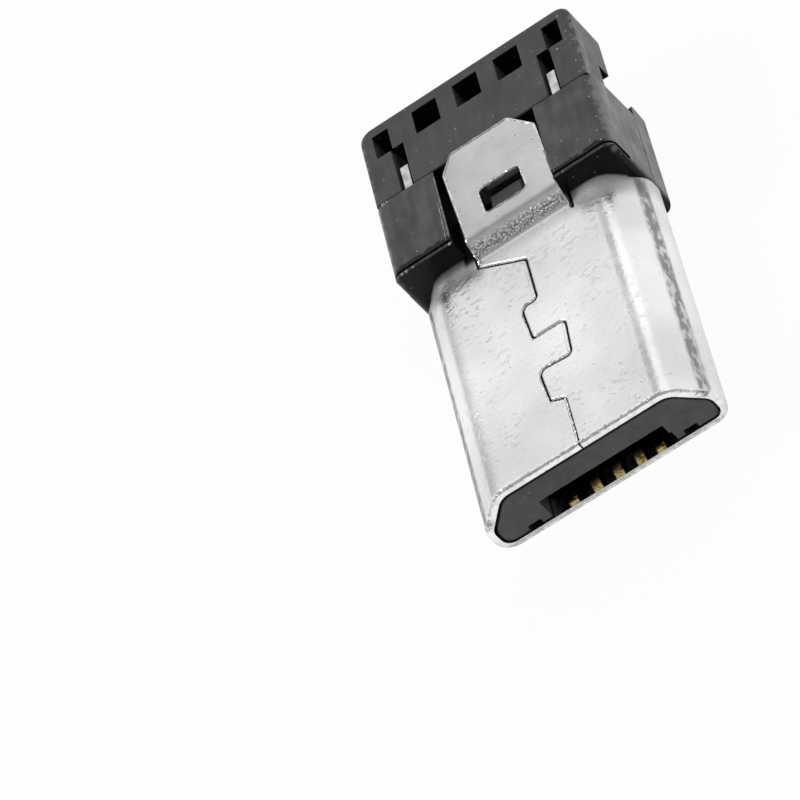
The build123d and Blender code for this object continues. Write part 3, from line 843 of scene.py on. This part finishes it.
def addTabBurrs(values):
    left, right, front, rear = (values[key] for key in ("left", "right", "front", "rear"))
    (leftX, leftY), (rightX, rightY) = values["leftCorner"], values["rightCorner"]
    tilt = (0, -values["climb"], 1)
    addRidge("tabBurr", values, burr, [
        (onTab([(left, front), (left, leftY), (leftX, rear), (rightX, rear)]), tilt),
        (onTab([(rightX, rear), (right, rightY), (right, front)]), tilt),
        (values["rootLeft"], values["rootFacing"]),
        (values["rootRight"], values["rootFacing"]),
    ])
    addRidge("rootBurr", rootBurrSet, burr, [(rootBurrSet["path"], rootBurrSet["facing"])])
    left, right, front, rear = (windowBurrSet[key] for key in ("left", "right", "front", "rear"))
    corner = windowBurrSet["corner"]
    outline = [
        (left, rear - corner), (left, front + corner), (left + corner, front), (right - corner, front),
        (right, front + corner), (right, rear - corner), (right - corner, rear), (left + corner, rear),
    ]
    addRidge("windowBurr", windowBurrSet, burr, [(onTab(outline), tilt)])
    addRidge("windowBeads", beadSet, burr, [(onTab(beadSet["path"]), tilt)])


addTabBurrs(tabBurrSet)

# Mouth: a burr along the rim, round the shoulders and down the sides
rimBurrSet = {
    "height": 0.020, "width": 0.055, "least": 0.1, "step": 0.06, "seed": 31, "round": True, "y": -6.845,
    "path": [
        (-3.415, 1.30), (-3.37, 1.55), (-3.27, 1.755), (-2.77, 2.30), (-2.60, 2.44), (-2.42, 2.52),
        (-2.21, 2.545), (2.21, 2.545), (2.42, 2.52), (2.60, 2.44), (2.77, 2.30), (3.27, 1.755),
        (3.37, 1.55), (3.415, 1.30),
    ],
}
rimLine = [(x, rimBurrSet["y"], z) for x, z in rimBurrSet["path"]]
addRidge("rimBurr", rimBurrSet, burr, [(rimLine, (0, 0, 1))])

# Collar: mould flash along its front lip, pale threads beside the recess, and both parting lines
collarTop = 3.25
lipFlashSet = {
    "height": 0.020, "width": 0.045, "least": 0.05, "step": 0.06, "seed": 41,
    "paths": [[(-3.05, 1.185), (-1.56, 1.185)], [(1.64, 1.185), (3.05, 1.185)]],
}
recessFlashSet = {
    "height": 0.014, "width": 0.036, "least": 0.0, "step": 0.04, "seed": 43,
    "paths": [[(-1.56, 1.40), (-1.54, 3.72)], [(-1.66, 1.37), (-1.61, 2.75)]],
}
partingSet = {
    "height": 0.016, "width": 0.03, "least": 0.2, "step": 0.08, "seed": 47,
    "side": 3.43, "z": 1.23, "along": (1.42, 4.30),
}
for name, values, material in (("lipFlash", lipFlashSet, sleeve), ("recessFlash", recessFlashSet, chipped)):
    flashLines = [([(x, y, collarTop) for x, y in path], (0, 0, 1)) for path in values["paths"]]
    addRidge(name, values, material, flashLines)
partingLines = [
    ([(hand * partingSet["side"], y, partingSet["z"]) for y in partingSet["along"]], (hand, 0, 0))
    for hand in (1, -1)
]
addRidge("partingFlash", partingSet, sleeve, partingLines)

# Chips: small pale crumbs left by the mould on the collar and on the block behind it
crumbSet = {
    "seed": 61, "smoothness": 2,
    "wide": (0.7, 1.3), "flat": (0.4, 0.6), "rough": (0.8, 1.15),       # shares of a spot's size
    "above": 5,                         # mm, looked down from here for the surface
}
collarSpots = [                         # x, y, size in mm
    (-3.10, 3.90, 0.060), (-2.98, 3.91, 0.045), (-3.08, 1.16, 0.055), (-2.94, 1.16, 0.045),
    (-2.74, 1.17, 0.034), (-1.60, 1.17, 0.040), (2.85, 1.60, 0.036), (3.10, 1.80, 0.038),
    (3.14, 1.42, 0.042), (3.18, 2.30, 0.032), (3.16, 3.10, 0.026), (1.90, 1.17, 0.030),
    (2.10, 2.20, 0.024), (-2.50, 1.60, 0.022),
]
blockSpots = [
    (2.72, 5.37, 0.032), (3.12, 4.58, 0.036), (3.13, 4.12, 0.040), (2.98, 6.49, 0.032),
    (3.08, 5.80, 0.024), (-0.60, 4.90, 0.022), (-2.90, 4.70, 0.022),
]


def addChips(name, values, spots, node):
    corners = [node.matrix_world @ vert.co for vert in node.data.vertices]
    surface = BVHTree.FromPolygons(corners, [list(face.vertices) for face in node.data.polygons])
    work = bmesh.new()
    draw = random.Random(values["seed"])
    for x, y, size in spots:
        spot = surface.ray_cast(Vector((x, y, values["above"])) * mm, Vector((0, 0, -1)))[0]
        lump = bmesh.ops.create_icosphere(work, subdivisions=values["smoothness"], radius=size * mm)
        stretch = Vector([draw.uniform(*values[key]) for key in ("wide", "wide", "flat")])
        for vert in lump["verts"]:
            vert.co = vert.co * stretch * draw.uniform(*values["rough"]) + spot
    mesh = bpy.data.meshes.new(name)
    work.to_mesh(mesh)
    work.free()
    addPiece(name, mesh, chipped)


addChips("collarChips", crumbSet, collarSpots, nodes["collar"])
addChips("blockChips", crumbSet, blockSpots, nodes["core"])

# Solder tails: rows of small raised dots rolled into the tinned side
dotSet = {
    "tails": (-2.70, -0.90, 0.90, 2.70), "columns": (-0.21, 0.0, 0.21), "rows": 5, "pitch": 0.33,
    "firstRow": 5.32, "face": 1.95, "radius": 0.055, "least": 0.75, "height": 0.032, "seed": 53, "sides": 10,
    "levels": ((0.5, 0.78), (0.85, 0.38), (1.0, -0.3)),     # shares of the radius and of the height
}


def addDots(name, values):
    draw = random.Random(values["seed"])
    corners, faces = [], []
    sides = values["sides"]
    for tail in values["tails"]:
        for row in range(values["rows"]):
            for column, aside in enumerate(values["columns"]):
                x = tail + aside
                y = values["firstRow"] + (row + 0.5 * (column % 2)) * values["pitch"]
                size = values["radius"] * draw.uniform(values["least"], 1.0)
                tip = len(corners)
                corners.append((x, y, values["face"] - values["height"]))
                for share, drop in values["levels"]:
                    reach = size * share
                    z = values["face"] - values["height"] * drop
                    for i in range(sides):
                        turn = 2 * math.pi * i / sides
                        corners.append((x + reach * math.cos(turn), y + reach * math.sin(turn), z))
                for i in range(sides):
                    k = (i + 1) % sides
                    faces.append((tip, tip + 1 + k, tip + 1 + i))
                    for ring in range(tip + 1, tip + 1 + (len(values["levels"]) - 1) * sides, sides):
                        faces.append((ring + i, ring + k, ring + sides + k, ring + sides + i))
                base = tip + 1 + (len(values["levels"]) - 1) * sides
                faces.append(tuple(range(base, base + sides)))
    mesh = meshOf(name, corners, faces)
    for face in mesh.polygons:
        face.use_smooth = True
    addPiece(name, mesh, gold)


addDots("tailDots", dotSet)
print("burrs, flash, chips and dots added")
